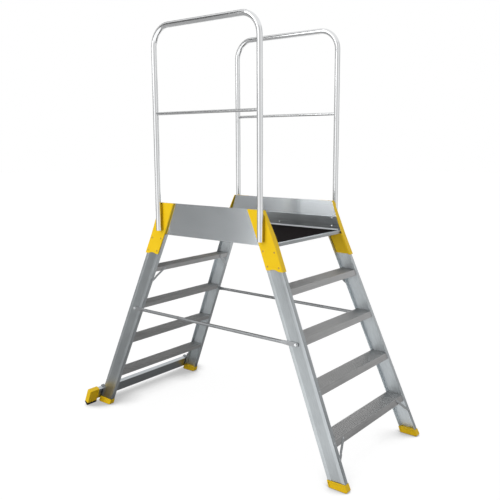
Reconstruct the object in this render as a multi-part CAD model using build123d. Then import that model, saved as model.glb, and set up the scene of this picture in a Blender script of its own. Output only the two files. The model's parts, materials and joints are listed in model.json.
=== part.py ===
from build123d import *
import os
from math import cos, pi, radians, sin, tan

# Double-sided step platform in millimetres: +Z up, X along the walkway, Y across it.
# Pieces are drawn for the near right corner (+X, -Y) and mirrored to the other corners.

# Flights
LEAN = 23.0  # stiles from the vertical along X, in degrees
SPLAY = 3.4  # stiles from the vertical across Y, in degrees
FLOOR_REACH = 861.4  # platform middle to the stile's centre line, on the floor
HALF_WIDTH = 395.0  # platform middle to the stile's outer face, on the floor
STEP_COUNT = 4
FIRST_RISE = 224.5
STEP_RISE = 230.0
LAST_RISE = 217.5

# Stile: channel open to the inside, with two raised ridges on its web
STILE_WEB = 91.0
STILE_DEPTH = 25.0
STILE_WALL = 2.5
STILE_RIDGE = 1.5
STILE_RECESS = 50.0
STILE_SLOPE = 3.0

# Step: ribbed tread between the stiles' flanges
STEP_FRONT = 30.0
STEP_BACK = 27.0
STEP_WALL = 2.2
STEP_LIP = 14.0
GROOVE_COUNT = 8
GROOVE_WIDTH = 5.0
GROOVE_DEPTH = 1.5

# Foot: cap in which the stile's lower end stands
FOOT_BACK = 34.0
FOOT_FRONT = 38.0
FOOT_SPREAD = 4.5
FOOT_WALL = 1.5
FOOT_SOCKET = 12.0
FOOT_PROUD = 5.0
FOOT_DEPTH = 29.0
FOOT_ROUND = 9.0
FOOT_RIM = 6.0
FOOT_PANEL = 2.5

# Deck: panel held by a rail along each side and a nosing at each end
DECK_LIP = 2.0
PANEL_THICK = 11.0
RAIL_WALL = 3.0
RAIL_HEIGHT = 91.5
RAIL_LEDGE = 30.0
RAIL_LIP = 7.0
RAIL_BEAD = 7.0
NOSING_DEPTH = 22.0
KICK_THICK = 2.0
KICK_INSIDE_WEB = 1.0
KICK_ABOVE_DECK = 165.0

# Bracket: moulded socket on the stile's head, with a plate beside the kick plate and a lip before its end
BRACKET_DROP = 116.5
BRACKET_WALL = 6.5
BRACKET_LEG = 3.0
BRACKET_TURN = 1.5
BRACKET_FRONT = 55.0
BRACKET_BACK = 47.0
BRACKET_LIP = 3.5
LIP_ABOVE_DECK = 35.0
LIP_AT_TOP = 8.0
BRACKET_ARCH_WIDTH = 56.0
BRACKET_ARCH_RISE = 7.0
SADDLE_STAND = 3.7
SADDLE_WRAP = 3.5
SADDLE_WIDTH = 26.0
SADDLE_BELOW_KICK = 7.0

# Guard rails
POST_DIAMETER = 30.0
POST_WALL = 2.0
BORE_SIDES = 8
POST_SET_BACK = 18.9
POST_ABOVE_DECK = 9.0
RAIL_ABOVE_DECK = 1113.0
HOOP_BEND = 110.0
MID_ABOVE_DECK = 654.0
MID_DIAMETER = 16.0
MID_INSERT = 8.0

# Brace between the flights, a tube with flattened ends
BRACE_HEIGHT = 654.5
BRACE_DIAMETER = 18.0
BRACE_FLAT_WIDTH = 23.0
BRACE_FLAT_THICK = 3.4
BRACE_TAPER = 34.0
BRACE_PAST_BOLT = 15.0
BRACE_PAST_WEB = 4.0
BRACE_TIP_CORNER = 6.0
PRESS_SIDES = 12

# Corner strap between a step and a stile
STRAP_WIDTH = 15.0
STRAP_THICK = 3.0
STRAP_REACH = 94.0
STRAP_INSET = 15.0
STRAP_BELOW_TREAD = 11.0
STRAP_DROP = 72.0
STRAP_END = 8.0
STRAP_CORNER = 4.5

# Stabiliser bar in front of the left flight, with its hangers, end shoes and soles
BAR_HEIGHT = 71.0
BAR_THICK = 25.0
BAR_WALL = 2.0
BAR_LOW = 4.5
HANGER_WALL = 5.0
HANGER_WIDTH = 20.0
HANGER_OFF_EDGE = 6.0
HANGER_ABOVE_BAR = 38.0
HANGER_LEG_LOW = 26.0
SHOE_OFF_STILE = 25.0
SHOE_LENGTH = 69.5
SHOE_END_WALL = 8.0
SHOE_WALL = 2.5
SHOE_BELOW_BAR = 9.5
SHOE_ABOVE_BAR = 8.0
SHOE_RIM = 8.0
SHOE_PANEL = 1.0
SOLE_INNER = 16.0
SOLE_OUTER = 6.0
SOLE_BULGE = 3.0

# Fasteners
RIVET_HEAD = 9.0
RIVET_CROWN = 6.0
RIVET_RISE = 1.8
RIVET_INSET = 16.5
RIVET_BELOW_TREAD = 10.0
HEAD_SIDES = 8
SCREW_HEAD = 11.0
SCREW_RISE = 2.5
SCREW_TO_BACK = 31.5
SCREW_TO_FRONT = 38.5
SCREW_UP_HIGH = 92.5
SCREW_UP_LOW = 19.0
BOLT_HEAD = 13.0
BOLT_RISE = 5.3
POST_BOLT_LOW = 20.5
POST_BOLT_HIGH = 66.5
DECK_RIVET_BACK = 10.0
HANGER_BOLT_LOW = 14.0
HANGER_BOLT_HIGH = 29.0

FIT = 0.2  # gap round a plug in its socket
HOLE_FIT = 0.15  # gap round a bolt or a rod in its hole

# Sizes that follow from the ones above
RUN = tan(radians(LEAN))
DRAW_IN = tan(radians(SPLAY))
SLOPE = cos(radians(LEAN))
STEP_TOPS = [FIRST_RISE + k * STEP_RISE for k in range(STEP_COUNT)]
DECK_TOP = STEP_TOPS[-1] + LAST_RISE
PANEL_TOP = DECK_TOP - DECK_LIP
DECK_BASE = PANEL_TOP - PANEL_THICK - RAIL_WALL
KICK_TOP = DECK_TOP + KICK_ABOVE_DECK
BRACKET_LOW = DECK_BASE - BRACKET_DROP
HALF_WEB = STILE_WEB / 2 / SLOPE
FLANGE = STILE_WALL / SLOPE
WEB = STILE_RIDGE + STILE_WALL
STILE_END = FOOT_BACK - FOOT_SOCKET
BRACKET_DEPTH = STILE_DEPTH + BRACKET_TURN


def axis_x(z):
    """Distance of the stile's centre line from the platform middle at height z."""
    return FLOOR_REACH - z * RUN


def outer_y(z):
    """Distance of the stile's outer face from the platform middle at height z."""
    return HALF_WIDTH - z * DRAW_IN


KICK_FACE = outer_y(DECK_BASE) - WEB - KICK_INSIDE_WEB
LIP_BACK = BRACKET_FRONT - BRACKET_LIP
KICK_END = LIP_BACK - FIT
RAIL_FACE = KICK_FACE - KICK_THICK
RAIL_INNER = RAIL_FACE - RAIL_WALL
BRACKET_FACE = outer_y(DECK_BASE) + BRACKET_WALL
NOSING_FRONT = axis_x(DECK_TOP) + HALF_WEB
POST_X = axis_x(DECK_TOP) - POST_SET_BACK
POST_Y = BRACKET_FACE + SADDLE_STAND + POST_DIAMETER / 2
POST_FOOT = DECK_TOP + POST_ABOVE_DECK

# Planes of the right flight: across the stile's front flange, and on the stile's outer face
FLIGHT = Plane((FLOOR_REACH, 0, 0), x_dir=(cos(radians(LEAN)), 0, sin(radians(LEAN))), z_dir=(0, -1, 0))
OUTWARD = Vector(0, -cos(radians(SPLAY)), sin(radians(SPLAY)))


def outline(*points):
    """Flat face inside a closed run of straight lines."""
    return make_face(Polyline(*points, close=True))


def leaning(offset, z):
    """Point in the XZ plane at an offset from the stile's centre line."""
    return (axis_x(z) + offset, z)


def plate(points, inner, outer):
    """XZ outline made solid between two distances from the platform middle, on the near side."""
    return extrude(Plane.XZ.offset(inner) * outline(*points), outer - inner)


def slab(outside, inside, low, high):
    """Layer that follows the stile's outer face, from one side of it to the other."""
    section = outline(
        (-outer_y(low) - outside, low),
        (-outer_y(low) + inside, low),
        (-outer_y(high) + inside, high),
        (-outer_y(high) - outside, high),
    )
    return extrude(Plane.YZ * section, 2 * FLOOR_REACH)


def lean_prism(section, low, high):
    """Plan section, in X from the centre line and Y from the outer face, run up along the stile."""
    start = Vector(axis_x(low), -outer_y(low), low)
    path = Vector(axis_x(high), -outer_y(high), high) - start
    return extrude(Pos(start) * section, path.length, dir=path)


def on_web(offset, z, above):
    """Plane on the stile's outer face, raised by a thickness, looking outward."""
    point = Vector(axis_x(z) + offset, -outer_y(z), z) + OUTWARD * above
    return Plane(point, x_dir=(1, 0, 0), z_dir=OUTWARD)


def on_flange(side, inset, z, above=0.0):
    """Plane on the front (side 1) or back (side -1) flange, looking away from the stile."""
    away = FLIGHT.x_dir * side
    point = Vector(axis_x(z) + side * HALF_WEB, -outer_y(z) + inset, z) + away * above
    return Plane(point, x_dir=(0, 1, 0), z_dir=away)


def rivet(seat):
    """Blind rivet's head on a seat plane."""
    base = RegularPolygon(RIVET_HEAD / 2, HEAD_SIDES)
    crown = Pos(0, 0, RIVET_RISE) * RegularPolygon(RIVET_CROWN / 2, HEAD_SIDES)
    return seat * loft([base, crown], ruled=True)


def screw(seat):
    """Flat screw head on a seat plane."""
    return seat * extrude(RegularPolygon(SCREW_HEAD / 2, HEAD_SIDES), SCREW_RISE)


def bolt_head(seat):
    """Hexagon head on a seat plane."""
    return seat * extrude(RegularPolygon(BOLT_HEAD / 2, 6, major_radius=False), BOLT_RISE)


def brace_seat(above):
    """Plane at the brace's bolt, raised from the stile's web."""
    return on_web(0, BRACE_HEIGHT, above)


def stile_section():
    """Plan section of the stile's channel."""
    recess = STILE_RECESS / 2 / SLOPE
    ridge = recess + STILE_SLOPE / SLOPE
    inner = HALF_WEB - FLANGE
    return outline(
        (-HALF_WEB, 0),
        (-ridge, 0),
        (-recess, STILE_RIDGE),
        (recess, STILE_RIDGE),
        (ridge, 0),
        (HALF_WEB, 0),
        (HALF_WEB, STILE_DEPTH),
        (inner, STILE_DEPTH),
        (inner, WEB),
        (-inner, WEB),
        (-inner, STILE_DEPTH),
        (-HALF_WEB, STILE_DEPTH),
    )


def stile():
    """Leaning channel, cut level under the deck and inside the foot."""
    return lean_prism(stile_section(), STILE_END, DECK_BASE)


def foot():
    """Cap with rounded ends, a socket for the stile and a recessed panel in both faces."""
    base = outline(
        (axis_x(0) - HALF_WEB - FOOT_SPREAD, 0),
        (axis_x(0) + HALF_WEB + FOOT_SPREAD, 0),
        leaning(HALF_WEB + FOOT_WALL, FOOT_FRONT),
        leaning(-HALF_WEB - FOOT_WALL, FOOT_BACK),
    )
    face = fillet(base.vertices().sort_by(Axis.Y)[:2], FOOT_ROUND)
    reach = 2 * HALF_WIDTH
    low = -FOOT_FRONT
    high = 2 * FOOT_FRONT
    block = extrude(Plane.XZ * face, reach) & slab(FOOT_PROUD, FOOT_DEPTH, low, high)
    core = slab(FOOT_PROUD - FOOT_PANEL, FOOT_DEPTH - FOOT_PANEL, low, high)
    panels = extrude(Plane.XZ * offset(base, -FOOT_RIM), reach) - core
    socket = lean_prism(offset(stile_section(), FIT, kind=Kind.INTERSECTION), STILE_END, high)
    return block - panels - socket


def step_section(top):
    """Tread outline in the XZ plane: grooved top, front and back skirts with lips below."""
    half = HALF_WEB - FLANGE
    wall = STEP_WALL / SLOPE
    pitch = 2 * half / (GROOVE_COUNT + 1)
    low_front = top - STEP_FRONT
    low_back = top - STEP_BACK
    under = top - GROOVE_DEPTH - STEP_WALL
    points = [
        leaning(half, top),
        leaning(half, low_front),
        leaning(half - STEP_LIP, low_front),
        leaning(half - STEP_LIP, low_front + STEP_WALL),
        leaning(half - wall, low_front + STEP_WALL),
        leaning(half - wall, under),
        leaning(wall - half, under),
        leaning(wall - half, low_back + STEP_WALL),
        leaning(STEP_LIP - half, low_back + STEP_WALL),
        leaning(STEP_LIP - half, low_back),
        leaning(-half, low_back),
        leaning(-half, top),
    ]
    for k in range(1, GROOVE_COUNT + 1):
        back = axis_x(top) - half + k * pitch - GROOVE_WIDTH / 2
        front = back + GROOVE_WIDTH
        points += [(back, top), (back, top - GROOVE_DEPTH), (front, top - GROOVE_DEPTH), (front, top)]
    return points


def step(top):
    """Tread between the webs of the two stiles, its ends cut to their splay."""
    low = top - STEP_RISE / 2
    high = top + STEP_RISE / 2
    between = outline(
        (-outer_y(low) + WEB, low),
        (outer_y(low) - WEB, low),
        (outer_y(high) - WEB, high),
        (-outer_y(high) + WEB, high),
    )
    tread = extrude(Plane.XZ * outline(*step_section(top)), 2 * HALF_WIDTH, both=True)
    return tread & extrude(Plane.YZ * between, 2 * FLOOR_REACH)


def bracket_side(low, high):
    """Outline of the bracket in the XZ plane between two heights, along the lean."""
    return [
        leaning(-BRACKET_BACK, low),
        leaning(BRACKET_FRONT, low),
        leaning(BRACKET_FRONT, high),
        leaning(-BRACKET_BACK, high),
    ]


def bracket():
    """Socket round the stile's head, plate beside the kick plate, lip before its end and saddle behind the post."""
    side = plate(bracket_side(BRACKET_LOW, DECK_BASE), 0, 2 * HALF_WIDTH)
    socket = side & slab(BRACKET_WALL, BRACKET_DEPTH, 0, KICK_TOP)
    web = outline((-HALF_WEB, 0), (HALF_WEB, 0), (HALF_WEB, WEB), (-HALF_WEB, WEB))
    end = HALF_WEB - FLANGE - BRACKET_LEG
    inner = WEB + BRACKET_LEG
    opening = outline((-STILE_WEB, inner), (end, inner), (end, STILE_WEB), (-STILE_WEB, STILE_WEB))
    for section in (stile_section(), web, opening):
        socket -= lean_prism(section, 0, DECK_BASE)
    cheek = plate(bracket_side(DECK_BASE, KICK_TOP), KICK_FACE, BRACKET_FACE)
    return socket - bracket_arch() + cheek + bracket_lip() + saddle()


def bracket_arch():
    """Shallow arch in the socket's lower edge, through its outer wall."""
    half = BRACKET_ARCH_WIDTH / 2
    radius = (half**2 + BRACKET_ARCH_RISE**2) / 2 / BRACKET_ARCH_RISE
    centre = BRACKET_LOW + BRACKET_ARCH_RISE - radius
    disc = Pos(axis_x(BRACKET_LOW), centre) * Circle(radius)
    low = BRACKET_LOW - radius
    return extrude(Plane.XZ * disc, 2 * HALF_WIDTH) & slab(2 * BRACKET_WALL, 0, low, DECK_BASE)


def bracket_lip():
    """Strip turned in before the ends of the kick plate and the deck rail, narrower toward the top."""
    depth = outer_y(DECK_BASE) - BRACKET_DEPTH
    strip = [
        leaning(LIP_BACK, DECK_BASE),
        leaning(BRACKET_FRONT, DECK_BASE),
        leaning(BRACKET_FRONT, KICK_TOP),
        leaning(LIP_BACK, KICK_TOP),
    ]
    front = outline(
        (-KICK_FACE, DECK_BASE),
        (-depth, DECK_BASE),
        (-depth, DECK_TOP + LIP_ABOVE_DECK),
        (-KICK_FACE + LIP_AT_TOP, KICK_TOP),
        (-KICK_FACE, KICK_TOP),
    )
    return plate(strip, 0, KICK_FACE) & extrude(Plane.YZ * front, FLOOR_REACH)


def saddle():
    """Pad on the bracket's plate, hollowed to the post."""
    left = POST_X - SADDLE_WIDTH / 2
    right = POST_X + SADDLE_WIDTH / 2
    top = KICK_TOP - SADDLE_BELOW_KICK
    pad = [(left, POST_FOOT), (right, POST_FOOT), (right, top), (left, top)]
    block = plate(pad, BRACKET_FACE - BRACKET_WALL, BRACKET_FACE + SADDLE_STAND + SADDLE_WRAP)
    block &= plate(bracket_side(DECK_BASE, KICK_TOP), 0, 2 * HALF_WIDTH)
    groove = extrude(Pos(POST_X, -POST_Y, 0) * Circle(POST_DIAMETER / 2 + HOLE_FIT), KICK_TOP)
    return block - groove


def guard_hoop():
    """Tube bent into two posts and a top rail, with a hole in each post for the mid rail."""
    top = DECK_TOP + RAIL_ABOVE_DECK
    corners = [(-POST_X, POST_FOOT), (-POST_X, top), (POST_X, top), (POST_X, POST_FOOT)]
    path = Plane.XZ.offset(POST_Y) * FilletPolyline(*corners, radius=HOOP_BEND)
    start = Plane(path @ 0, z_dir=path % 0)
    tube = sweep(start * Circle(POST_DIAMETER / 2), path)
    bore = sweep(start * RegularPolygon(POST_DIAMETER / 2 - POST_WALL, BORE_SIDES), path)
    hole = RegularPolygon(MID_DIAMETER / 2 + HOLE_FIT, BORE_SIDES, major_radius=False)
    return tube - bore - mid_bar(hole, POST_X)


def mid_bar(section, reach):
    """Bar along X at the height of the mid rail, as far to both sides of the middle."""
    across = Plane((0, -POST_Y, DECK_TOP + MID_ABOVE_DECK), z_dir=(1, 0, 0))
    return extrude(across * section, reach, both=True)


def mid_rail():
    """Rod that goes through the inner wall of both posts."""
    return mid_bar(Circle(MID_DIAMETER / 2), POST_X - POST_DIAMETER / 2 + MID_INSERT)


def deck_panel():
    """Panel on the ledges of the rails and the nosings."""
    length = 2 * (NOSING_FRONT - RAIL_WALL - FIT)
    width = 2 * (RAIL_INNER - FIT)
    return Pos(0, 0, PANEL_TOP - PANEL_THICK / 2) * Box(length, width, PANEL_THICK)


def nosing():
    """Edge profile that holds the panel's end, between the side rails."""
    back = NOSING_FRONT - NOSING_DEPTH
    inner = NOSING_FRONT - RAIL_WALL
    points = [
        (back, DECK_BASE),
        (NOSING_FRONT, DECK_BASE),
        (NOSING_FRONT, DECK_TOP),
        (back, DECK_TOP),
        (back, PANEL_TOP),
        (inner, PANEL_TOP),
        (inner, DECK_BASE + RAIL_WALL),
        (back, DECK_BASE + RAIL_WALL),
    ]
    return extrude(Plane.XZ * outline(*points), RAIL_INNER, both=True)


def mirrored(points):
    """XZ outline closed by its own mirror image about the platform middle."""
    return points + [(-x, z) for x, z in reversed(points)]


def deck_rail():
    """Side profile: tall leg with ends cut to the lean, a ledge and a bead that hold the panel's edge."""
    low_end = NOSING_FRONT - axis_x(DECK_BASE)
    ends = [leaning(low_end, DECK_BASE), leaning(low_end, DECK_BASE + RAIL_HEIGHT)]
    leg = plate(mirrored(ends), RAIL_INNER, RAIL_FACE)
    reach = NOSING_FRONT - NOSING_DEPTH - FIT
    ledge = [(reach, DECK_BASE), (reach, DECK_BASE + RAIL_WALL)]
    slot = plate(mirrored(ledge), RAIL_INNER - RAIL_LEDGE, RAIL_INNER)
    bead = outline(
        (-RAIL_INNER, PANEL_TOP),
        (-RAIL_INNER + RAIL_LIP, PANEL_TOP),
        (-RAIL_INNER + RAIL_LIP, DECK_TOP),
        (-RAIL_INNER, DECK_TOP + RAIL_BEAD),
    )
    return leg + slot + extrude(Plane.YZ * bead, reach, both=True)


def kick_plate():
    """Sheet between the deck rail and the brackets, its ends cut to the lean."""
    ends = [leaning(KICK_END, DECK_BASE), leaning(KICK_END, KICK_TOP)]
    return plate(mirrored(ends), RAIL_FACE, KICK_FACE)


def pressed_ring(width, thick):
    """Many-sided outline of the brace's tube, round or pressed flat."""
    turns = [2 * pi * k / PRESS_SIDES for k in range(PRESS_SIDES)]
    return outline(*[(width / 2 * cos(turn), thick / 2 * sin(turn)) for turn in turns])


def brace():
    """Tube along X, pressed flat at both ends where it is bolted to the stiles' webs."""
    bolt_x = axis_x(BRACE_HEIGHT)
    flat_start = bolt_x - HALF_WEB - BRACE_PAST_WEB
    round_end = flat_start - BRACE_TAPER
    tip = bolt_x + BRACE_PAST_BOLT
    middle = brace_seat(BRACE_FLAT_THICK / 2).origin
    flat = Plane((0, middle.Y, middle.Z), x_dir=(1, 0, 0), z_dir=OUTWARD)
    across = Plane(flat.origin, x_dir=flat.y_dir, z_dir=(1, 0, 0))
    width = BRACE_FLAT_WIDTH / 2
    face = outline((flat_start, -width), (tip, -width), (tip, width), (flat_start, width))
    face = chamfer(face.vertices().group_by(Axis.X)[-1], BRACE_TIP_CORNER)
    tongue = flat * extrude(face, BRACE_FLAT_THICK / 2, both=True)
    round_ring = across.offset(round_end) * pressed_ring(BRACE_DIAMETER, BRACE_DIAMETER)
    flat_ring = across.offset(flat_start) * pressed_ring(BRACE_FLAT_WIDTH, BRACE_FLAT_THICK)
    tube = extrude(across * Circle(BRACE_DIAMETER / 2), round_end)
    half = tube + loft([round_ring, flat_ring], ruled=True) + tongue
    return half + left(half)


def strap_seats(side, top):
    """Seat planes of a strap's two rivets: on the tread's skirt and on the stile's flange."""
    upper = top - STRAP_BELOW_TREAD
    at_step = on_flange(side, STRAP_REACH, upper, STRAP_THICK - STILE_WALL)
    at_stile = on_flange(side, STRAP_INSET, upper - STRAP_DROP, STRAP_THICK)
    return at_step, at_stile


def strap(side, top):
    """Flat bar from a tread's skirt to a stile's flange, stepped by the flange's thickness."""
    at_step, at_stile = strap_seats(side, top)
    away = at_stile.z_dir
    start = at_stile.origin - away * STRAP_THICK
    run = at_step.origin - away * (STRAP_THICK - STILE_WALL) - start
    length = run.length
    along = run.normalized()
    edge = STILE_DEPTH - STRAP_INSET
    free = length * edge / (STRAP_REACH - STRAP_INSET) + STRAP_WIDTH
    bend = free + 3 * STILE_WALL
    section = outline(
        (-STRAP_END, 0),
        (free, 0),
        (bend, -STILE_WALL),
        (length + STRAP_END, -STILE_WALL),
        (length + STRAP_END, STRAP_THICK - STILE_WALL),
        (bend, STRAP_THICK - STILE_WALL),
        (free, STRAP_THICK),
        (-STRAP_END, STRAP_THICK),
    )
    across = Plane(start, x_dir=along, z_dir=along.cross(away))
    bar = extrude(across * section, STRAP_WIDTH / 2, both=True)
    short = bar.edges().filter_by(Axis(start, away)).sort_by(lambda e: (e.center() - start).dot(along))
    return chamfer(short[:2] + short[-2:], STRAP_CORNER)


def bar_box(front, back, low, high):
    """Rectangle on the right flight's plane, in n from the stile's centre line and u along it."""
    return outline((front, low), (back, low), (back, high), (front, high))


BAR_NEAR = STILE_WEB / 2 + HANGER_WALL
BAR_FAR = BAR_NEAR + BAR_THICK
BAR_TOP = BAR_LOW + BAR_HEIGHT
SHOE_LOW = BAR_LOW - SHOE_BELOW_BAR
SHOE_TOP = BAR_TOP + SHOE_ABOVE_BAR
SHOE_START = HALF_WIDTH + SHOE_OFF_STILE
SHOE_END = SHOE_START + SHOE_LENGTH
HANGER_TOP = BAR_TOP + HANGER_ABOVE_BAR
HANGER_OUTER = outer_y(HANGER_TOP) - HANGER_OFF_EDGE


def stabiliser_bar():
    """Rectangular tube across the flight, its ends inside the shoes."""
    tube = bar_box(BAR_NEAR, BAR_FAR, BAR_LOW, BAR_TOP)
    bore = bar_box(BAR_NEAR + BAR_WALL, BAR_FAR - BAR_WALL, BAR_LOW + BAR_WALL, BAR_TOP - BAR_WALL)
    return extrude(FLIGHT * (tube - bore), SHOE_END - SHOE_END_WALL, both=True)


def hanger_bolt_seats():
    """Seats of a hanger's bolts: two on the stile's flange and one on the bar's outer wall."""
    middle = HANGER_OUTER - HANGER_WIDTH / 2
    on_stile = Plane(FLIGHT.origin, x_dir=FLIGHT.y_dir, z_dir=FLIGHT.x_dir)
    back = [BAR_TOP + HANGER_BOLT_LOW, BAR_TOP + HANGER_BOLT_HIGH]
    seats = [on_stile * Pos(u, middle, BAR_NEAR) for u in back]
    seats.append(on_stile * Pos((BAR_LOW + BAR_TOP) / 2, middle, BAR_FAR + HANGER_WALL))
    return [Plane(seat) for seat in seats]


def hanger():
    """Hook of flat steel: back leg on the stile's flange, web over the bar, front leg down its outer wall."""
    web_top = BAR_TOP + HANGER_WALL
    section = outline(
        (STILE_WEB / 2, HANGER_LEG_LOW),
        (BAR_NEAR, HANGER_LEG_LOW),
        (BAR_NEAR, BAR_TOP),
        (BAR_FAR, BAR_TOP),
        (BAR_FAR, BAR_LOW),
        (BAR_FAR + HANGER_WALL, BAR_LOW),
        (BAR_FAR + HANGER_WALL, web_top),
        (BAR_NEAR, web_top),
        (BAR_NEAR, HANGER_TOP),
        (STILE_WEB / 2, HANGER_TOP),
    )
    return extrude(FLIGHT.offset(HANGER_OUTER - HANGER_WIDTH) * section, HANGER_WIDTH)


def shoe():
    """Cap over the bar's end, with a shallow panel in the face that looks at the flight."""
    front = BAR_NEAR - SHOE_WALL
    back = BAR_FAR + SHOE_WALL
    block = extrude(FLIGHT.offset(SHOE_START) * bar_box(front, back, SHOE_LOW, SHOE_TOP), SHOE_LENGTH)
    hollow = bar_box(BAR_NEAR - FIT, BAR_FAR + FIT, BAR_LOW - FIT, BAR_TOP + FIT)
    socket = extrude(FLIGHT.offset(SHOE_START) * hollow, SHOE_LENGTH - SHOE_END_WALL)
    panel = bar_box(0, front + SHOE_PANEL, SHOE_LOW + SHOE_RIM, SHOE_TOP - SHOE_RIM)
    recess = extrude(FLIGHT.offset(SHOE_START + SHOE_RIM) * panel, SHOE_LENGTH - 2 * SHOE_RIM)
    return block - socket - recess


def sole():
    """Rounded pad under a shoe, worn flat where it meets the floor."""
    front = BAR_NEAR - SHOE_WALL
    back = BAR_FAR + SHOE_WALL
    low_front = (front, SHOE_LOW - SOLE_INNER)
    low_back = (back, SHOE_LOW - SOLE_OUTER)
    rocker = ((front + back) / 2, SHOE_LOW - (SOLE_INNER + SOLE_OUTER) / 2 - SOLE_BULGE)
    sides = Polyline(low_back, (back, SHOE_LOW), (front, SHOE_LOW), low_front)
    face = make_face([sides, ThreePointArc(low_front, rocker, low_back)])
    pad = extrude(FLIGHT.offset(SHOE_START) * face, SHOE_LENGTH)
    return split(pad, bisect_by=Plane.XY, keep=Keep.TOP)


def bracket_screws():
    """Four screws through the bracket's outer wall."""
    heights = (BRACKET_LOW + SCREW_UP_LOW, BRACKET_LOW + SCREW_UP_HIGH)
    spots = [(dx, z) for z in heights for dx in (-SCREW_TO_BACK, SCREW_TO_FRONT)]
    return [screw(on_web(dx, z, BRACKET_WALL * cos(radians(SPLAY)))) for dx, z in spots]


def step_rivets():
    """A rivet through each flange into each end of each tread."""
    spots = [(side, top) for top in STEP_TOPS for side in (1, -1)]
    return [rivet(on_flange(side, RIVET_INSET, top - RIVET_BELOW_TREAD)) for side, top in spots]


def straps():
    """Corner straps of one end: under the lowest tread in front, under the highest tread behind."""
    return {"low": (1, STEP_TOPS[0]), "top": (-1, STEP_TOPS[-1])}


def strap_rivets():
    """Two rivets for each corner strap."""
    return [rivet(seat) for place in straps().values() for seat in strap_seats(*place)]


def post_bolts():
    """Screws that hold the deck rail, kick plate and bracket to a post."""
    seats = [Plane((POST_X, -RAIL_INNER, DECK_TOP + up), z_dir=(0, 1, 0)) for up in (POST_BOLT_LOW, POST_BOLT_HIGH)]
    return [screw(seat) for seat in seats]


def deck_rivet():
    """Rivet near the middle of a deck rail."""
    return rivet(Plane((-DECK_RIVET_BACK, -RAIL_INNER, DECK_TOP + POST_BOLT_LOW), z_dir=(0, 1, 0)))


def hanger_bolts():
    """Bolt heads of one hanger."""
    return [bolt_head(seat) for seat in hanger_bolt_seats()]


def far(shape):
    return mirror(shape, about=Plane.XZ)


def left(shape):
    return mirror(shape, about=Plane.YZ)


def both_sides(shapes):
    return shapes + [far(shape) for shape in shapes]


def four_corners(shapes):
    return both_sides(shapes + [left(shape) for shape in shapes])


def side_nodes(name, shape, end=""):
    """The same piece on the near and the far side."""
    return {f"{name}_near{end}": [shape], f"{name}_far{end}": [far(shape)]}


def corner_nodes(name, shape):
    """The same piece at all four corners."""
    return side_nodes(name, shape, "_right") | side_nodes(name, left(shape), "_left")


def build():
    """The solids of every piece by name, in place about the platform middle."""
    nodes = corner_nodes("stile", stile())
    nodes |= corner_nodes("foot", foot())
    nodes |= corner_nodes("bracket", bracket())
    for number, top in enumerate(STEP_TOPS, start=1):
        tread = step(top)
        nodes |= {f"step_{number}_right": [tread], f"step_{number}_left": [left(tread)]}
    for level, place in straps().items():
        nodes |= corner_nodes(f"{level}_strap", strap(*place))
    edge = nosing()
    nodes |= {"deck_panel": [deck_panel()], "deck_nosing_right": [edge], "deck_nosing_left": [left(edge)]}
    nodes |= side_nodes("deck_rail", deck_rail())
    nodes |= side_nodes("kick_plate", kick_plate())
    nodes |= side_nodes("guard_hoop", guard_hoop())
    nodes |= side_nodes("mid_rail", mid_rail())
    nodes |= side_nodes("brace", brace())
    nodes["stabiliser_bar"] = [left(stabiliser_bar())]
    nodes |= side_nodes("bar_hanger", left(hanger()))
    nodes |= side_nodes("bar_shoe", left(shoe()))
    nodes |= side_nodes("shoe_sole", left(sole()))
    nodes["bracket_screws"] = four_corners(bracket_screws())
    nodes["step_rivets"] = four_corners(step_rivets())
    nodes["strap_rivets"] = four_corners(strap_rivets())
    nodes["brace_bolts"] = four_corners([bolt_head(brace_seat(BRACE_FLAT_THICK))])
    nodes["post_bolts"] = four_corners(post_bolts())
    nodes["deck_rivets"] = both_sides([deck_rivet()])
    nodes["hanger_bolts"] = both_sides([left(piece) for piece in hanger_bolts()])
    return {name: [solid for piece in pieces for solid in piece.solids()] for name, pieces in nodes.items()}


def main():
    """Moves the origin to the middle of the footprint on the floor and writes one file for each piece."""
    nodes = build()
    box = Compound([solid for solids in nodes.values() for solid in solids]).bounding_box()
    middle = box.center()
    shift = Pos(-middle.X, -middle.Y, -box.min.Z)
    os.makedirs("parts", exist_ok=True)
    for name, solids in nodes.items():
        export_step(Compound([shift * solid for solid in solids]), f"parts/{name}.step")
    print("nodes", len(nodes), "size", box.size, "shift along X", -middle.X)


main()
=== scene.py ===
# %% [markdown]
# A double-sided step platform: two leaning flights of four aluminium treads, a dark deck
# between kick plates, and a bent-tube guard rail along each side. The frame holds every rigid
# piece at its real size, so this lesson is about light, camera and finish: how extruded, rolled
# and drawn aluminium, moulded plastic, zinc, rubber and a faced board differ to the eye.

# %% Load the frame
import json
import math

import bmesh
import bpy
from mathutils import Matrix, Vector
from mathutils.bvhtree import BVHTree

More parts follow.
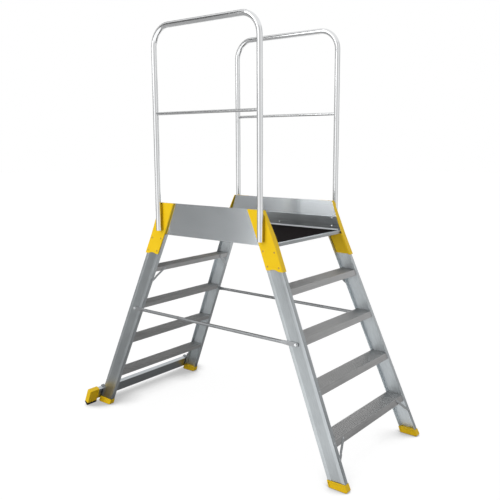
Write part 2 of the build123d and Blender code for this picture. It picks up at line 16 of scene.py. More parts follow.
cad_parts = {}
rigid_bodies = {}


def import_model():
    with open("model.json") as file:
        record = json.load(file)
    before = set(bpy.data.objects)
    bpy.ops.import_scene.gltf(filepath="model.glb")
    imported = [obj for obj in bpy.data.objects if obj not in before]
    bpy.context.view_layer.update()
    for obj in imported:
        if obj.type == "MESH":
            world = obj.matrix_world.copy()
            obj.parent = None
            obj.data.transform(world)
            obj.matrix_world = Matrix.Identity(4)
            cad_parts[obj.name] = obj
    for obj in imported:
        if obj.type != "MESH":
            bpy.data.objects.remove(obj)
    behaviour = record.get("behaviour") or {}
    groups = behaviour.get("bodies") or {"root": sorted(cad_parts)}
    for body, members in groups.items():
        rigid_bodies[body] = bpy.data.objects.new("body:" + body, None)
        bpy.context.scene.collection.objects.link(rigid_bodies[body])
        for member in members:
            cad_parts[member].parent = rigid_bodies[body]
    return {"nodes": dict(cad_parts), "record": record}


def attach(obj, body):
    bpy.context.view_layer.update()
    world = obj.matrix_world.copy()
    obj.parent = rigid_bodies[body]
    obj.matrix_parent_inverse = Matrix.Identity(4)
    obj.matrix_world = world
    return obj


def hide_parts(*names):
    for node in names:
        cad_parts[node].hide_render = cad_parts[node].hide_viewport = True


for leftover in list(bpy.data.objects):
    bpy.data.objects.remove(leftover)
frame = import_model()
NODES = frame["nodes"]
SLOTS = {part["node"]: part["material_slot"] for part in frame["record"]["subparts"]}
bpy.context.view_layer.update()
MM = 0.001

# %% [markdown]
# The camera stands at the right of the near side, a little above the deck's height, and looks
# across the platform and slightly down. Its place and turn were worked out from edges in the
# photograph that have a known direction: posts, treads, stiles and the floor. A camera could be
# aimed at a target, but then its roll is hard to read. Three turns are plainer, so its matrix is
# built from yaw, pitch and roll.

# %% Camera
CAMERA_PLACE = Vector((2.3421, -2.8890, 1.6345))
CAMERA_YAW = math.radians(38.70)
CAMERA_PITCH = math.radians(9.44)
CAMERA_ROLL = math.radians(0.27)
LENS_MM = 46.99
SENSOR_MM = 36.0

scene = bpy.context.scene
camera = bpy.data.objects.new("camera", bpy.data.cameras.new("camera"))
camera.data.lens = LENS_MM
camera.data.sensor_width = SENSOR_MM
camera.data.dof.use_dof = False
camera.matrix_world = (
    Matrix.Translation(CAMERA_PLACE)
    @ Matrix.Rotation(CAMERA_YAW, 4, "Z")
    @ Matrix.Rotation(math.pi / 2 - CAMERA_PITCH, 4, "X")
    @ Matrix.Rotation(-CAMERA_ROLL, 4, "Z")
)
scene.collection.objects.link(camera)
scene.camera = camera
scene.view_settings.view_transform = "Standard"
print("camera at", [round(v, 3) for v in camera.location], "lens", camera.data.lens)

# %% [markdown]
# Three helpers serve every material. Colours are picked as sRGB hex values, as a paint chart gives
# them, and shaders want linear light, so one function converts. Another adds a node, sets its
# fields and wires its inputs in one call, which keeps a node tree as readable as a formula. The
# third starts an empty material.

# %% Helpers for materials
def linear(hex_colour):
    """Linear colour of an sRGB hex value."""
    shares = [int(hex_colour[k : k + 2], 16) / 255 for k in (0, 2, 4)]
    return [s / 12.92 if s <= 0.04045 else ((s + 0.055) / 1.055) ** 2.4 for s in shares] + [1.0]


def add(tree, kind, inputs=None, **fields):
    """Adds a node: fields are its own settings, inputs are values or sockets to link from."""
    made = tree.nodes.new("ShaderNode" + kind)
    for name, value in fields.items():
        setattr(made, name, value)
    for name, value in (inputs or {}).items():
        if isinstance(value, bpy.types.NodeSocket):
            tree.links.new(value, made.inputs[name])
        else:
            made.inputs[name].default_value = value
    return made


def new_material(name):
    """Empty material with its output, and the tree to fill."""
    material = bpy.data.materials.new(name)
    material.use_nodes = True
    tree = material.node_tree
    tree.nodes.clear()
    return material, tree, add(tree, "OutputMaterial")


print("mid grey in linear light", round(linear("808080")[0], 3))

# %% [markdown]
# Aluminium profiles are pushed hot through a die, sheet is rolled, and tube and rod are drawn. All
# three leave fine lines along the length, and a dull bloom that varies slowly. The eye reads the
# lines as a direction and the bloom as metal that was never polished. A picture of brushed metal
# could be wrapped round each piece, but every mesh would need its own layout for it. A noise
# stretched in space needs none: it is long along the profile and short across it.

# %% Lines and bloom of bare metal
# Real die lines are some 0.2 mm apart, too fine to show, so they are drawn about ten times coarser.
LINE_SIZE = [2.5 * MM, 2.5 * MM, 300.0 * MM]
LINE_DEPTH = 0.3 * MM
BLOOM_SIZE = 120 * MM
BLOOM_SHARE = 0.35


def metal_pattern(tree, place, turn):
    """Die lines along a piece, and the same lines mixed with the slow bloom."""
    along = add(tree, "Mapping", {"Vector": place, "Rotation": turn, "Scale": LINE_SIZE},
                vector_type="TEXTURE").outputs["Vector"]
    lines = add(tree, "TexNoise", {"Vector": along, "Scale": 1.0, "Detail": 3.0}).outputs["Fac"]
    bloom = add(tree, "TexNoise", {"Vector": place, "Scale": 1 / BLOOM_SIZE, "Detail": 2.0}).outputs["Fac"]
    blend = add(tree, "Mix", {"Factor": BLOOM_SHARE, "A": lines, "B": bloom}).outputs["Result"]
    return lines, blend


print("lines", round(LINE_SIZE[0] / MM, 1), "mm wide, bloom", round(BLOOM_SIZE / MM), "mm")

# %% [markdown]
# A stile is a channel with two raised ridges on its outer web. Its outer faces take a slightly darker
# tone, and the inside of the channel stays pale but has little gloss. The web between the ridges is
# darker still: that is painted shade, which sets off the ridges as lighter, in place of the highlights
# that their edges catch. Each zone could have a material slot of its own, but that would change the
# mesh. So the shader finds the zones by measure: how far a point lies from the platform's middle,
# once the stile's lean and splay are taken out.

# %% Zones of a stile
LEAN = math.radians(23.0)
SPLAY = math.radians(3.4)
# The flights' middle along X, and the reach from there to a stile's middle line at the floor.
MIDDLE_X = 13.9 * MM
FLOOR_REACH = 861.4 * MM
# Half a channel's width along X, to the middle of its flanges.
CHANNEL_HALF = 48.0 * MM
# Reach along Y to the middle of the web at the floor, and a band past its faces, short of the ridges.
WEB_REACH = 392.25 * MM
WEB_BAND = 2.0 * MM


def stile_zones(tree, place):
    """Two masks of a stile: its web without the ridges, and the inside of its channel."""
    split = add(tree, "SeparateXYZ", {"Vector": place}).outputs
    side = add(tree, "Math", {0: split["Y"]}, operation="ABSOLUTE").outputs["Value"]
    reach = add(tree, "Math", {0: split["Z"], 1: math.tan(SPLAY), 2: side},
                operation="MULTIPLY_ADD").outputs["Value"]
    web = add(tree, "Math", {0: reach, 1: WEB_REACH, 2: WEB_BAND}, operation="COMPARE").outputs["Value"]
    offset = add(tree, "Math", {0: split["X"], 1: MIDDLE_X}, operation="SUBTRACT").outputs["Value"]
    along = add(tree, "Math", {0: offset}, operation="ABSOLUTE").outputs["Value"]
    run = add(tree, "Math", {0: split["Z"], 1: math.tan(LEAN), 2: along},
              operation="MULTIPLY_ADD").outputs["Value"]
    between = add(tree, "Math", {0: run, 1: FLOOR_REACH, 2: CHANNEL_HALF},
                  operation="COMPARE").outputs["Value"]
    behind = add(tree, "Math", {0: reach, 1: WEB_REACH}, operation="LESS_THAN").outputs["Value"]
    inside = add(tree, "Math", {0: between, 1: behind}, operation="MULTIPLY").outputs["Value"]
    return web, inside


print("stiles lean", round(math.degrees(LEAN)), "degrees, splay", round(math.degrees(SPLAY), 1))

# %% [markdown]
# A grey film that multiplies the metal's own tone darkens it without hiding it, as a thin wash of
# paint would: a plain darker tone on the outer faces, painted shade on the web between the ridges.
# It could be a second shader laid over the metal, but a colour that multiplies does the same and
# keeps one shader. White leaves the tone alone, and a grey takes its share away.

# %% Darker tone and painted shade on the stiles
# The outer faces' grey is a plain darker tone. The web's grey is painted shade that sets off the ridges.
OUTER_GREY = "D0D0D0"
WEB_PAINTED_SHADE = "E7E7E7"
INSIDE_ROUGH = 0.20


def zone_toned(tree, place, tone, gloss):
    """Tone and roughness of a stile: outer faces toned darker, and painted shade on the web."""
    web, inside = stile_zones(tree, place)
    outside = add(tree, "Math", {0: 1.0, 1: inside}, operation="SUBTRACT").outputs["Value"]
    for zone, film in ((outside, OUTER_GREY), (web, WEB_PAINTED_SHADE)):
        tone = add(tree, "Mix", {"Factor": zone, "A": tone, "B": linear(film)},
                   data_type="RGBA", blend_type="MULTIPLY").outputs["Result"]
    gloss = add(tree, "Math", {0: inside, 1: INSIDE_ROUGH, 2: gloss},
                operation="MULTIPLY_ADD").outputs["Value"]
    return tone, gloss


print("film keeps", round(linear(OUTER_GREY)[0], 2), "of the outer faces' tone")

# %% [markdown]
# All bare aluminium here is one recipe with other numbers. The pattern drives the tone between two
# greys, the roughness about a middle value, and a slight relief. Rolled sheet has one thing more:
# its lines are so even that they smear every reflection across them, which the shader calls
# anisotropy. A fine bump could do that too, but it would flicker at this distance.

# %% Aluminium
TONE_STOPS = (0.35, 0.65)
GLOSS_STOPS = (0.3, 0.7)
SMEAR_TURN = 0.25


def aluminium(name, dark, light, rough, turn=(0, 0, 0), relief=0.04, spread=0.0, vary=0.05, ridged=False):
    """Bare aluminium: turn lays its lines along the piece, spread is how far they smear the gloss."""
    material, tree, output = new_material(name)
    place = add(tree, "TexCoord").outputs["Object"]
    lines, blend = metal_pattern(tree, place, turn)
    colour = add(tree, "ValToRGB", {"Fac": blend})
    for stop, position, shade in zip(colour.color_ramp.elements, TONE_STOPS, (dark, light)):
        stop.position = position
        stop.color = linear(shade)
    tone = colour.outputs["Color"]
    gloss = add(tree, "MapRange", {
        "Value": blend, "From Min": GLOSS_STOPS[0], "From Max": GLOSS_STOPS[1],
        "To Min": rough - vary, "To Max": rough + vary,
    }).outputs["Result"]
    if ridged:
        tone, gloss = zone_toned(tree, place, tone, gloss)
    bump = add(tree, "Bump", {"Height": lines, "Strength": relief, "Distance": LINE_DEPTH})
    surface = add(tree, "BsdfPrincipled", {
        "Base Color": tone, "Metallic": 1.0, "Roughness": gloss, "Normal": bump.outputs["Normal"],
        "Anisotropic": spread, "Anisotropic Rotation": SMEAR_TURN,
    })
    tree.links.new(surface.outputs["BSDF"], output.inputs["Surface"])
    return material


print("tone changes between", TONE_STOPS, "of the pattern")

# %% [markdown]
# Each profile gets its own pair of greys and its own gloss. A tread that shoes scrape is darker and
# duller than a guard rail that was brightened to look well. The lines have to follow each piece, so
# the two flights use two turns of the same finish.

# %% Aluminium finishes
ALONG_X = (0.0, math.pi / 2, 0.0)
ALONG_Y = (math.pi / 2, 0.0, 0.0)
STILE = {"dark": "D2D8DB", "light": "E9EFF2", "rough": 0.36, "ridged": True}
EVEN_SHEET = {"relief": 0.001, "spread": 1.0, "vary": 0.002}

METALS = {
    # Extruded channel: soft streaks down its length under a broad, dull highlight.
    "stile_right": aluminium("extruded_aluminium_right_flight", turn=(0, -LEAN, 0), **STILE),
    "stile_left": aluminium("extruded_aluminium_left_flight", turn=(0, LEAN, 0), **STILE),
    # Extruded tread, scraped by shoes: the dullest of the profiles.
    "tread_aluminium": aluminium("extruded_aluminium_tread", "A4A4A4", "B4B4B4", 0.40, turn=ALONG_Y),
    # Extruded deck nosing, rubbed by shoes: a paler line at the deck's ends.
    "edge_aluminium": aluminium("extruded_aluminium_edge", "B6BABC", "C8CCCE", 0.34, turn=ALONG_Y),
    # Extruded deck rail: a plain grey band below the kick plate.
    "rail_aluminium": aluminium("extruded_aluminium_deck_rail", "A6AAAC", "B6BABC", 0.36, turn=ALONG_X),
    # Rolled sheet: pale, with reflections smeared into smooth steps of tone.
    "sheet_aluminium": aluminium("rolled_aluminium_sheet", "DADFE2", "E4E9EC", 0.27, turn=ALONG_X,
                                 **EVEN_SHEET),
    # Tube brightened after drawing: crisp bands of light and dark down each post.
    "tube_aluminium": aluminium("brightened_aluminium_tube", "DADBDC", "E8E9EA", 0.10, relief=0.0),
    # Drawn rod: the same bands, a little softer.
    "rod_aluminium": aluminium("drawn_aluminium_rod", "CFD0D1", "DEDFE0", 0.20, turn=ALONG_X, relief=0.01),
    # Drawn tube left as it came: dark grey with hardly any highlight.
    "brace_aluminium": aluminium("drawn_aluminium_tube", "989A9C", "AAACAE", 0.42, turn=ALONG_X),
    # Extruded bar: a soft grey, close to the stiles' outer faces.
    "bar_aluminium": aluminium("extruded_aluminium_bar", "B2B7BA", "C5CACD", 0.36, turn=ALONG_Y),
    # Pressed rivets: soft highlights; the deck's nearly white ones are partly real gloss, partly painted
    # highlight.
    "rivet_aluminium": aluminium("pressed_aluminium_rivet", "B0B2B4", "C4C6C8", 0.36),
    "bright_rivet": aluminium("pressed_bright_aluminium_rivet", "E4E6E8", "F2F4F5", 0.40),
}
print("metals", len(METALS))

# %% [markdown]
# Straps, hangers, screws and bolts are zinc-plated steel. It is greyer than aluminium and faintly
# mottled, because zinc grows in small crystals. A bath after plating leaves it bright or turns it
# yellow. A noise could mottle it too, but a cell pattern, barely darker from cell to cell, has the
# crystals' straight borders.

# %% Zinc-plated steel
# Plated crystals are finer than a millimetre, so they are drawn several times coarser.
CRYSTAL_SIZE = 6 * MM


def zinc(name, dark, light, rough):
    """Zinc plating: cells of slightly different grey."""
    material, tree, output = new_material(name)
    place = add(tree, "TexCoord").outputs["Object"]
    cells = add(tree, "TexVoronoi", {"Vector": place, "Scale": 1 / CRYSTAL_SIZE}).outputs["Distance"]
    tone = add(tree, "Mix", {"Factor": cells, "A": linear(dark), "B": linear(light)}, data_type="RGBA")
    surface = add(tree, "BsdfPrincipled", {
        "Base Color": tone.outputs["Result"], "Metallic": 1.0, "Roughness": rough,
    })
    tree.links.new(surface.outputs["BSDF"], output.inputs["Surface"])
    return material


STEELS = {
    # Plated flat bar: a soft mid grey.
    "strap_steel": zinc("zinc_plated_strap", "A2A5A7", "BCBFC1", 0.38),
    # Plated hook close to the floor: the strap's zinc made darker, painted shade, the darkest metal here.
    "hanger_steel": zinc("zinc_plated_hanger", "74777A", "8E9194", 0.42),
    # Plated bolt: between the two.
    "screw_steel": zinc("zinc_plated_bolt", "8C8E90", "A6A8AA", 0.36),
    # Lighter copy of the zinc: nearly white points, partly real gloss, partly painted highlight.
    "bright_screw": zinc("bright_zinc_plated_screw", "E8EAEC", "F6F8F9", 0.40),
    # Yellow passivated plating: a brass tint that almost sinks into the yellow bracket.
    "yellow_screw": zinc("yellow_passivated_zinc_screw", "C09C40", "D4B45C", 0.45),
}
print("steels", len(STEELS))

# %% [markdown]
# The yellow pieces are moulded plastic: polypropylene on the brackets, a tougher and deeper yellow
# polyurethane on the feet and shoes. A mould gives a fine even grain and a satin sheen. The grain is
# a noise of about half a millimetre, and a slow noise keeps large faces from looking flat. Corners
# and seams hold little light, and that shade is painted into the colour. It could be painted on by
# hand, but an ambient occlusion node finds such corners by itself and mixes a dark brown into them.

# %% Moulded plastic and rubber
# The grain is too fine to be seen as dots from here, and only softens the sheen.
BLOTCH_SIZE = 60 * MM
GRAIN_DEPTH = 0.1 * MM
CORNER_REACH = 8 * MM
CORNER_STOPS = (0.50, 0.80)
SATIN_LEVEL = 0.3
SATIN_VARY = 0.06


def moulding(name, dark, light, rough, corner_shade="5A440A", grain=0.6, relief=0.15, ior=1.49):
    """Moulded plastic or rubber with a fine grain in mm and painted shade in its corners."""
    material, tree, output = new_material(name)
    place = add(tree, "TexCoord").outputs["Object"]
    fine = add(tree, "TexNoise", {"Vector": place, "Scale": 1 / (grain * MM), "Detail": 2.0})
    slow = add(tree, "TexNoise", {"Vector": place, "Scale": 1 / BLOTCH_SIZE, "Detail": 3.0}).outputs["Fac"]
    body = add(tree, "Mix", {"Factor": slow, "A": linear(dark), "B": linear(light)}, data_type="RGBA")
    # Painted shade: where ambient occlusion finds a corner, the colour turns to the dark corner colour.
    corner = add(tree, "AmbientOcclusion", {"Distance": CORNER_REACH})
    unshaded = add(tree, "MapRange", {
        "Value": corner.outputs["AO"], "From Min": CORNER_STOPS[0], "From Max": CORNER_STOPS[1],
    })
    tone = add(tree, "Mix", {
        "Factor": unshaded.outputs["Result"], "A": linear(corner_shade), "B": body.outputs["Result"],
    }, data_type="RGBA")
    gloss = add(tree, "MapRange", {"Value": slow, "To Min": rough - SATIN_VARY, "To Max": rough + SATIN_VARY})
    bump = add(tree, "Bump", {"Height": fine.outputs["Fac"], "Strength": relief, "Distance": GRAIN_DEPTH})
    surface = add(tree, "BsdfPrincipled", {
        "Base Color": tone.outputs["Result"], "Roughness": gloss.outputs["Result"], "IOR": ior,
        "Specular IOR Level": SATIN_LEVEL, "Normal": bump.outputs["Normal"],
    })
    tree.links.new(surface.outputs["BSDF"], output.inputs["Surface"])
    return material


PLASTICS = {
    # Moulded polypropylene: a clear warm yellow with a satin sheen.
    "bracket_plastic": moulding("moulded_polypropylene_yellow", "F9CB08", "FED61A", 0.42),
    # Moulded polyurethane: a deeper yellow, a little duller.
    "foot_plastic": moulding("moulded_polyurethane_deep_yellow", "EABF0E", "F2CA1C", 0.45),
    # Moulded rubber: warm black with a coarse grain and no sheen.
    "sole_rubber": moulding("moulded_rubber_black", "16150F", "24221A", 0.70,
                            corner_shade="0C0B08", grain=1.2, relief=0.3, ior=1.52),
}
print("plastics", len(PLASTICS))

# %% [markdown]
# The deck is plywood faced with a dark phenolic film. A wire mesh pressed into the hot film leaves a
# grid of small raised squares that grips a shoe. Modelled squares would be thousands of faces, each
# smaller than a pixel, so two crossed waves in the bump make the grid. The film's brown-black comes
# from the resin.

# %% Faced board
MESH_PITCH = 5 * MM
# A wave texture of scale 1 repeats after this length.
WAVE_LENGTH = math.pi / 10
SQUARE_DEPTH = 0.4 * MM
FILM_BLOTCH = 90 * MM


def faced_board(name, dark, light):
    """Phenolic-faced plywood with a pressed grid."""
    material, tree, output = new_material(name)
    place = add(tree, "TexCoord").outputs["Object"]
    bands = [
        add(tree, "TexWave", {"Vector": place, "Scale": WAVE_LENGTH / MESH_PITCH, "Distortion": 0.0},
            bands_direction=axis, wave_profile="SIN").outputs["Fac"]
        for axis in ("X", "Y")
    ]
    grid = add(tree, "Math", {0: bands[0], 1: bands[1]}, operation="MULTIPLY").outputs["Value"]
    slow = add(tree, "TexNoise", {"Vector": place, "Scale": 1 / FILM_BLOTCH, "Detail": 4.0}).outputs["Fac"]
    tone = add(tree, "Mix", {"Factor": slow, "A": linear(dark), "B": linear(light)}, data_type="RGBA")
    bump = add(tree, "Bump", {"Height": grid, "Strength": 0.5, "Distance": SQUARE_DEPTH})
    surface = add(tree, "BsdfPrincipled", {
        "Base Color": tone.outputs["Result"], "Roughness": 0.8, "IOR": 1.55,
        "Specular IOR Level": 0.05, "Normal": bump.outputs["Normal"],
    })
    tree.links.new(surface.outputs["BSDF"], output.inputs["Surface"])
    return material


# Pressed phenolic film: a dead brown-black that shows neither grain nor gloss.
BOARDS = {"deck_board": faced_board("phenolic_faced_plywood", "0A0506", "120A0B")}
print("boards", len(BOARDS))

# %% [markdown]
# Every node now takes its finish from its material slot. Sheet metal and mouldings have no razor
# edge, and a narrow bevel gives each edge the thin highlight that tells the eye where a profile
# turns. It could be cut into every solid, but a modifier does it for all of them and leaves the
# frame's meshes as they are. The corners are welded first, so that faces share them, and the
# shading is weighted by face size, so that large faces stay flat.

# %% Finish and edges
FINISHES = METALS | STEELS | PLASTICS | BOARDS
EDGE_MM = {"bracket_plastic": 1.2, "foot_plastic": 1.5, "sole_rubber": 1.5}
PLAIN_EDGE_MM = 0.5
EDGE_STEPS = 2
EDGE_ANGLE = math.radians(30)
WELD = 0.01 * MM

for name, piece in NODES.items():
    slot = SLOTS[name]
    if slot == "stile_aluminium":
        slot = "stile_right" if name.endswith("right") else "stile_left"
    for place in piece.material_slots:
        place.material = FINISHES[slot]
    weld = piece.modifiers.new("weld", "WELD")
    weld.merge_threshold = WELD
    edge = piece.modifiers.new("edge", "BEVEL")
    edge.width = EDGE_MM.get(slot, PLAIN_EDGE_MM) * MM
    edge.segments = EDGE_STEPS
    edge.limit_method = "ANGLE"
    edge.angle_limit = EDGE_ANGLE
    for polygon in piece.data.polygons:
        polygon.use_smooth = True
    shade = piece.modifiers.new("shade", "WEIGHTED_NORMAL")
    shade.keep_sharp = True
print("finished", len(NODES), "nodes")

# %% [markdown]
# In the frame each screw, rivet and bolt is a plain stub with eight or six sides, which says where
# it is and how far it stands out. A proper head will take its place, so every stub is measured. Its
# two ends look alike, and its seat is the end that lies nearest to another piece. The search for the
# nearest face runs over one tree that holds all pieces a fastener can sit on.

# %% Pieces that carry fasteners
FASTENERS = [
    "bracket_screws", "post_bolts", "brace_bolts", "hanger_bolts",
    "step_rivets", "strap_rivets", "deck_rivets",
]


def carriers():
    """Search tree of every piece that a fastener can sit on."""
    points, faces = [], []
    for name, piece in NODES.items():
        if name not in FASTENERS:
            start = len(points)
            points += [v.co.copy() for v in piece.data.vertices]
            faces += [[start + k for k in p.vertices] for p in piece.data.polygons]
    return BVHTree.FromPolygons(points, faces)


SEATS = carriers()
print("fasteners sit on", len(NODES) - len(FASTENERS), "pieces")

# %% [markdown]
# One node holds many stubs, so they are told apart first. Blender can split a mesh into loose parts,
# but as new objects. Here it is enough to walk along the edges: starting from any corner, all corners
# that edges reach belong to one stub.

# %% Corners of each stub
def welded(node):
    """A node's mesh with the corners joined that its faces share."""
    shape = bmesh.new()
    shape.from_mesh(NODES[node].data)
    bmesh.ops.remove_doubles(shape, verts=shape.verts, dist=WELD)
    return shape


def islands(shape):
    """Corners of each separate stub, in the order in which edges reach them."""
    seen, found = set(), []
    for first in shape.verts:
        if first in seen:
            continue
        stub = [first]
        seen.add(first)
        for vert in stub:
            for edge in vert.link_edges:
                other = edge.other_vert(vert)
                if other not in seen:
                    seen.add(other)
                    stub.append(other)
        found.append(stub)
    return found


bolts = welded("hanger_bolts")
print("corners of each hanger bolt", [len(stub) for stub in islands(bolts)])
bolts.free()

# %% [markdown]
# A stub's axis is the direction that the largest area faces, which is the way its flat ends look. The
# rest follows from the axis: the ends, the seat, a corner of the rim and the radius. Places could be
# written down as a list instead, but reading them from the mesh keeps the heads right when a size of
# the part changes.

# %% Measures of the stubs
SAME_WAY = 0.999


def area_toward(normal, faces):
    """Area of the faces that look along a normal."""
    return sum(face.calc_area() for face in faces if face.normal.dot(normal) > SAME_WAY)


def measured(stub):
    """Seat, outward axis, direction of a corner, radius and height of one stub."""
    faces = list(dict.fromkeys(face for vert in stub for face in vert.link_faces))
    axis = max(faces, key=lambda face: area_toward(face.normal, faces)).normal.copy()
    middle = sum((v.co for v in stub), Vector()) / len(stub)
    heights = [(v.co - middle).dot(axis) for v in stub]
    ends = [middle + axis * max(heights), middle + axis * min(heights)]
    seat, top = sorted(ends, key=lambda end: SEATS.find_nearest(end)[3])
    out = (top - seat).normalized()
    corner = next(v.co for v in stub if abs((v.co - seat).dot(out)) < WELD) - seat
    return seat, out, corner.normalized(), corner.length, (top - seat).length


def stubs(node):
    """Measures of every stub in a node."""
    shape = welded(node)
    found = [measured(stub) for stub in islands(shape)]
    shape.free()
    return found


STUBS = {node: stubs(node) for node in FASTENERS}
print("stubs", {node: len(places) for node, places in STUBS.items()})

# %% [markdown]
# A head is written as rings of points from its rim to its middle, each point a radius and a height.
# One modelled head could be copied to every stub, but stubs differ in radius and height, and rings
# that are worked out from those two fit each stub without stretching its details. Three small
# formulas are enough: a round ring, the side of a hexagon, and the height of a ball-shaped cap.

# %% Rings of a head
HEAD_STEPS = 24
TURNS = [math.tau * k / HEAD_STEPS for k in range(HEAD_STEPS)]
# Half of the angle that one side of a hexagon takes up.
HALF_SIDE = math.pi / 6


def round_ring(radius, height):
    """Ring of one radius."""
    return [(radius, height)] * HEAD_STEPS


def six_sided(flat):
    """Distance from a hexagon's middle to its side at each step, with a corner at step 0."""
    return [flat / math.cos(turn % (2 * HALF_SIDE) - HALF_SIDE) for turn in TURNS]


def dome(radius, height, out):
    """Height of a ball-shaped cap at a distance from its middle."""
    ball = (radius ** 2 + height ** 2) / (2 * height)
    return math.sqrt(ball ** 2 - out ** 2) - (ball - height)


print("cap of 8 by 3 mm, half way out", round(dome(8.0, 3.0, 4.0), 2), "mm high")

# %% [markdown]
# On the real platform a screw has a domed head with a hexagon socket, a blind rivet is a low dome
# with the pit of its broken pin, and a bolt has its corners turned off at 30 degrees. A socket or pit
# could be cut out with a boolean. Here it is one more ring, lower than the last, which keeps each head
# a single clean skin.

# %% Screw, rivet and bolt heads
# Radii are shares of the head's radius, and depths are shares of its height.
DOME_RINGS = (1.0, 0.9, 0.75, 0.58, 0.42)
PIT_RIM = 0.26
PIT_RADIUS = 0.22
PIT_FLOOR = 0.5
SOCKET_FLAT = 0.24
SOCKET_FLOOR = 0.4
# A bolt's turned face and the edge of its shallow dish are shares of its flats.
TURNED_FACE = 0.94
DISH_EDGE = 0.6
DISH_FLOOR = 0.97
TURNED_ANGLE = math.radians(30)


def button_head(radius, height):
    """Domed screw head with a hexagon socket."""
    rings = [round_ring(radius * r, dome(radius, height, radius * r)) for r in DOME_RINGS]
    socket = six_sided(SOCKET_FLAT * radius)
    mouth = [(r, dome(radius, height, r)) for r in socket]
    bottom = [(r, SOCKET_FLOOR * height) for r in socket]
    return rings + [mouth, bottom]


def rivet_head(radius, height):
    """Low dome with the pit of the pulled pin."""
    rings = [round_ring(radius * r, dome(radius, height, radius * r)) for r in (*DOME_RINGS, PIT_RIM)]
    return rings + [round_ring(PIT_RADIUS * radius, PIT_FLOOR * height)]


def bolt_head(radius, height):
    """Hexagon head with its corners turned off at 30 degrees."""
    flat = radius * math.cos(HALF_SIDE)
    face = TURNED_FACE * flat
    sides = six_sided(flat)
    return [
        [(r, 0.0) for r in sides],
        [(r, height - (r - face) * math.tan(TURNED_ANGLE)) for r in sides],
        round_ring(face, height),
        round_ring(DISH_EDGE * flat, DISH_FLOOR * height),
    ]


print("rings", {head.__name__: len(head(8.0, 3.0)) for head in (button_head, rivet_head, bolt_head)})

# %% [markdown]
# Rings become a skin when each point is joined to its neighbours on the next ring. A screw modifier
# could spin a profile in the same way, but not a hexagon. Both ends are closed, so that every head is
# a whole solid. The first point of a ring lies toward a corner of the stub, which turns each hexagon
# as the stub's own.

# %% Skin of a head
def add_head(shape, stub, head):
    """One head on one stub."""
    seat, out, corner, radius, height = stub
    across = out.cross(corner)
    rows = []
    for ring in head(radius, height):
        rows.append([
            shape.verts.new(seat + (corner * math.cos(a) + across * math.sin(a)) * r + out * h)
            for a, (r, h) in zip(TURNS, ring)
        ])
    for below, above in zip(rows, rows[1:]):
        for k in range(HEAD_STEPS):
            n = (k + 1) % HEAD_STEPS
            shape.faces.new((below[k], below[n], above[n], above[k]))
    shape.faces.new(rows[0][::-1])
    shape.faces.new(rows[-1])


trial = bmesh.new()
add_head(trial, STUBS["hanger_bolts"][0], bolt_head)
print("a bolt head has", len(trial.faces), "faces")
trial.free()

# %% [markdown]
# Now each node of stubs gets one piece with all its heads. Smooth shading would melt the rim of a
# socket, so edges that turn by more than 35 degrees stay sharp. Each piece rides on the platform's
# only body and takes the place of the stubs.

# %% Heads on their stubs
SHARP_ANGLE = math.radians(35)


def set_heads(node, head, finish):
    """One piece with a head on every stub of a node."""
    shape = bmesh.new()
    for stub in STUBS[node]:
        add_head(shape, stub, head)
    mesh = bpy.data.meshes.new(node + "_heads")
    shape.to_mesh(mesh)
    shape.free()
    for polygon in mesh.polygons:
        polygon.use_smooth = True
    mesh.set_sharp_from_angle(angle=SHARP_ANGLE)
    mesh.materials.append(FINISHES[finish])
    piece = bpy.data.objects.new(node + "_heads", mesh)
    scene.collection.objects.link(piece)
    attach(piece, "root")
    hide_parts(node)
    return piece


HEADS = [
    set_heads("bracket_screws", button_head, "yellow_screw"),
    set_heads("post_bolts", button_head, "bright_screw"),
    set_heads("brace_bolts", bolt_head, "bright_screw"),
    set_heads("hanger_bolts", bolt_head, "screw_steel"),
    set_heads("step_rivets", rivet_head, "rivet_aluminium"),
    set_heads("strap_rivets", rivet_head, "rivet_aluminium"),
    set_heads("deck_rivets", rivet_head, "bright_rivet"),
]
print("heads", [piece.name for piece in HEADS])

# %% [markdown]
# The stage is a plain floor that runs to the horizon under an even white surround. Both have to look
# white without pouring light on the object, or its colours would wash out. A brighter lamp can't do
# that, but the light path node can: it tells which rays come from the camera, from gloss or through
# glass, and shows those rays alone the white background.

# %% Stage helpers
def add_plane(name, size, place, turn=(0.0, 0.0, 0.0)):
    """Flat stage piece of a given width and height."""
    across, up = (s / 2 for s in size)
    corners = [(-across, -up, 0), (across, -up, 0), (across, up, 0), (-across, up, 0)]
    mesh = bpy.data.meshes.new(name)
    mesh.from_pydata(corners, [], [(0, 1, 2, 3)])
    plane = bpy.data.objects.new(name, mesh)
    plane.location = place
    plane.rotation_euler = turn
    scene.collection.objects.link(plane)
    return plane


def seen_as_background(tree):
    """Mask that is one for rays from the camera, from gloss or through glass."""
    path = add(tree, "LightPath").outputs
    either = add(tree, "Math", {0: path["Is Camera Ray"], 1: path["Is Glossy Ray"]},
                 operation="MAXIMUM").outputs["Value"]
    return add(tree, "Math", {0: either, 1: path["Is Transmission Ray"]},
               operation="MAXIMUM").outputs["Value"]


FLOOR_SIZE = 60.0
floor = add_plane("floor", (FLOOR_SIZE, FLOOR_SIZE), (0, 0, 0))
print("floor", FLOOR_SIZE, "m wide")

# %% [markdown]
# The floor is painted a mid grey that takes the real light and so keeps the object's soft shadow.
# Most of what the camera sees of it is a glow of its own, which makes it white. A glow knows no
# shadow, so close to the feet it would look as if the object floated. An ambient occlusion node
# measures how open the floor is within a quarter of a metre, and the glow sinks where it is hemmed in,
# which puts the dark contact shadow back.

# %% Floor paint
FLOOR_GREY = "9A9A9A"
FLOOR_SHARE = 0.76
FLOOR_GLOW = 1.25
SHADOW_GLOW = 0.60
SHADOW_REACH = 0.25
SHADOW_STOPS = (0.50, 0.80)

